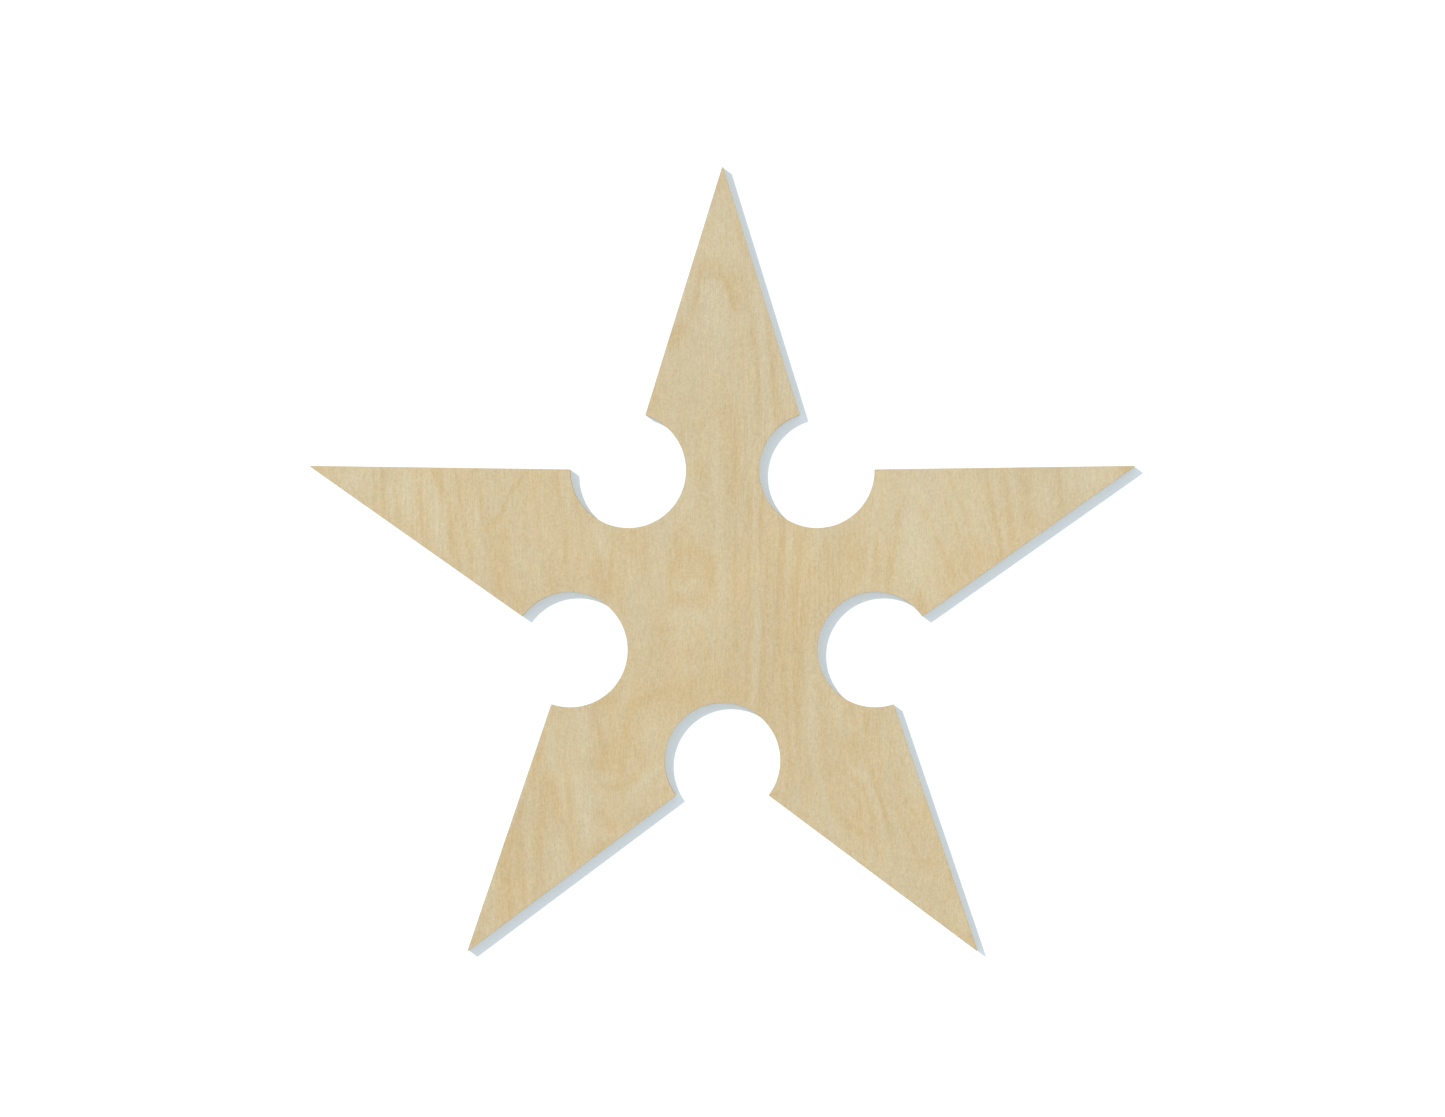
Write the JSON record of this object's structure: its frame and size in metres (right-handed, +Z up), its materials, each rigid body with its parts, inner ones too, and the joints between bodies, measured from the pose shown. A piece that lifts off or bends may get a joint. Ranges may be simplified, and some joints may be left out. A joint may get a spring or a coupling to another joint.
{
  "type": "plywood star cutout",
  "caption": "Flat pointed star cut from thin birch plywood, with a round notch between neighbouring points; a bare craft blank that lies flat or is glued to a surface.",
  "frame": {"origin": "the star's centre, where its five mirror planes meet, on the back face that it rests on", "axes": "+Z up through the thickness, from the back face to the front face; +Y towards one point, along the face grain; +X towards the right-hand points"},
  "size_m": [0.304, 0.2891, 0.006],
  "materials": {
    "face_birch": "bare, sanded, grain along Y",
    "back_birch": "bare, sanded, grain along Y",
    "crossband_birch": "cut edge, grain along X",
    "core_birch": "cut edge, grain along Y",
    "cured_glue": "cured resin glue line"
  },
  "bodies": {
    "root": {"back_veneer": "back_birch", "back_glue_line": "cured_glue", "lower_crossband": "crossband_birch", "lower_core_glue_line": "cured_glue", "core_veneer": "core_birch", "upper_core_glue_line": "cured_glue", "upper_crossband": "crossband_birch", "face_glue_line": "cured_glue", "face_veneer": "face_birch"}
  },
  "joints": []
}
